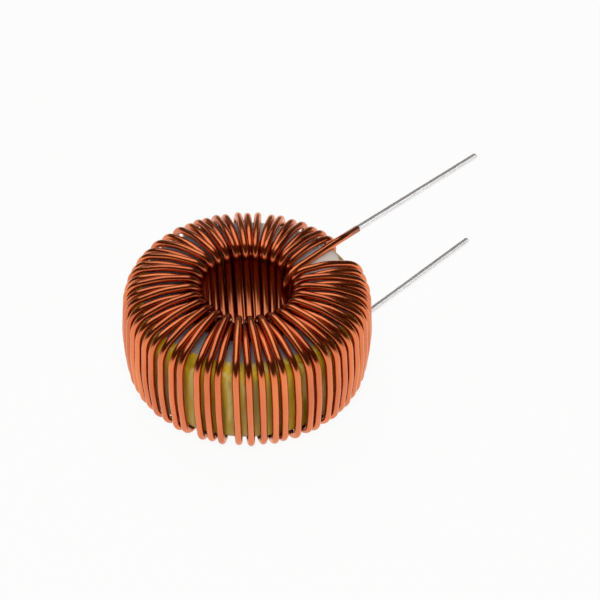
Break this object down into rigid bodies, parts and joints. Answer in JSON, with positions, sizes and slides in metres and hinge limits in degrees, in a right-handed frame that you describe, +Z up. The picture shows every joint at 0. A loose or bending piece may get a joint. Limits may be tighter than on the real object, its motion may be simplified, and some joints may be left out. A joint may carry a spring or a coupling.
{
  "type": "toroidal inductor",
  "caption": "Ring-shaped coated iron-powder core wound with one coil of enamelled copper wire, its two straight tinned leads leaving side by side for soldering.",
  "frame": {"origin": "on the ring's axis, at the plane the coil rests on", "axes": "+Z up along the ring's axis, +X from the ring towards the lead tips"},
  "size_m": [0.0531, 0.0296, 0.0148],
  "materials": {
    "core_coat": "satin coat",
    "enamelled_copper": "glossy enamel over copper",
    "tinned_copper": "bright hot-dipped tin"
  },
  "bodies": {
    "root": {"core": "core_coat", "winding": "enamelled_copper", "tinned_lead_upper": "tinned_copper", "tinned_lead_lower": "tinned_copper"}
  },
  "joints": []
}
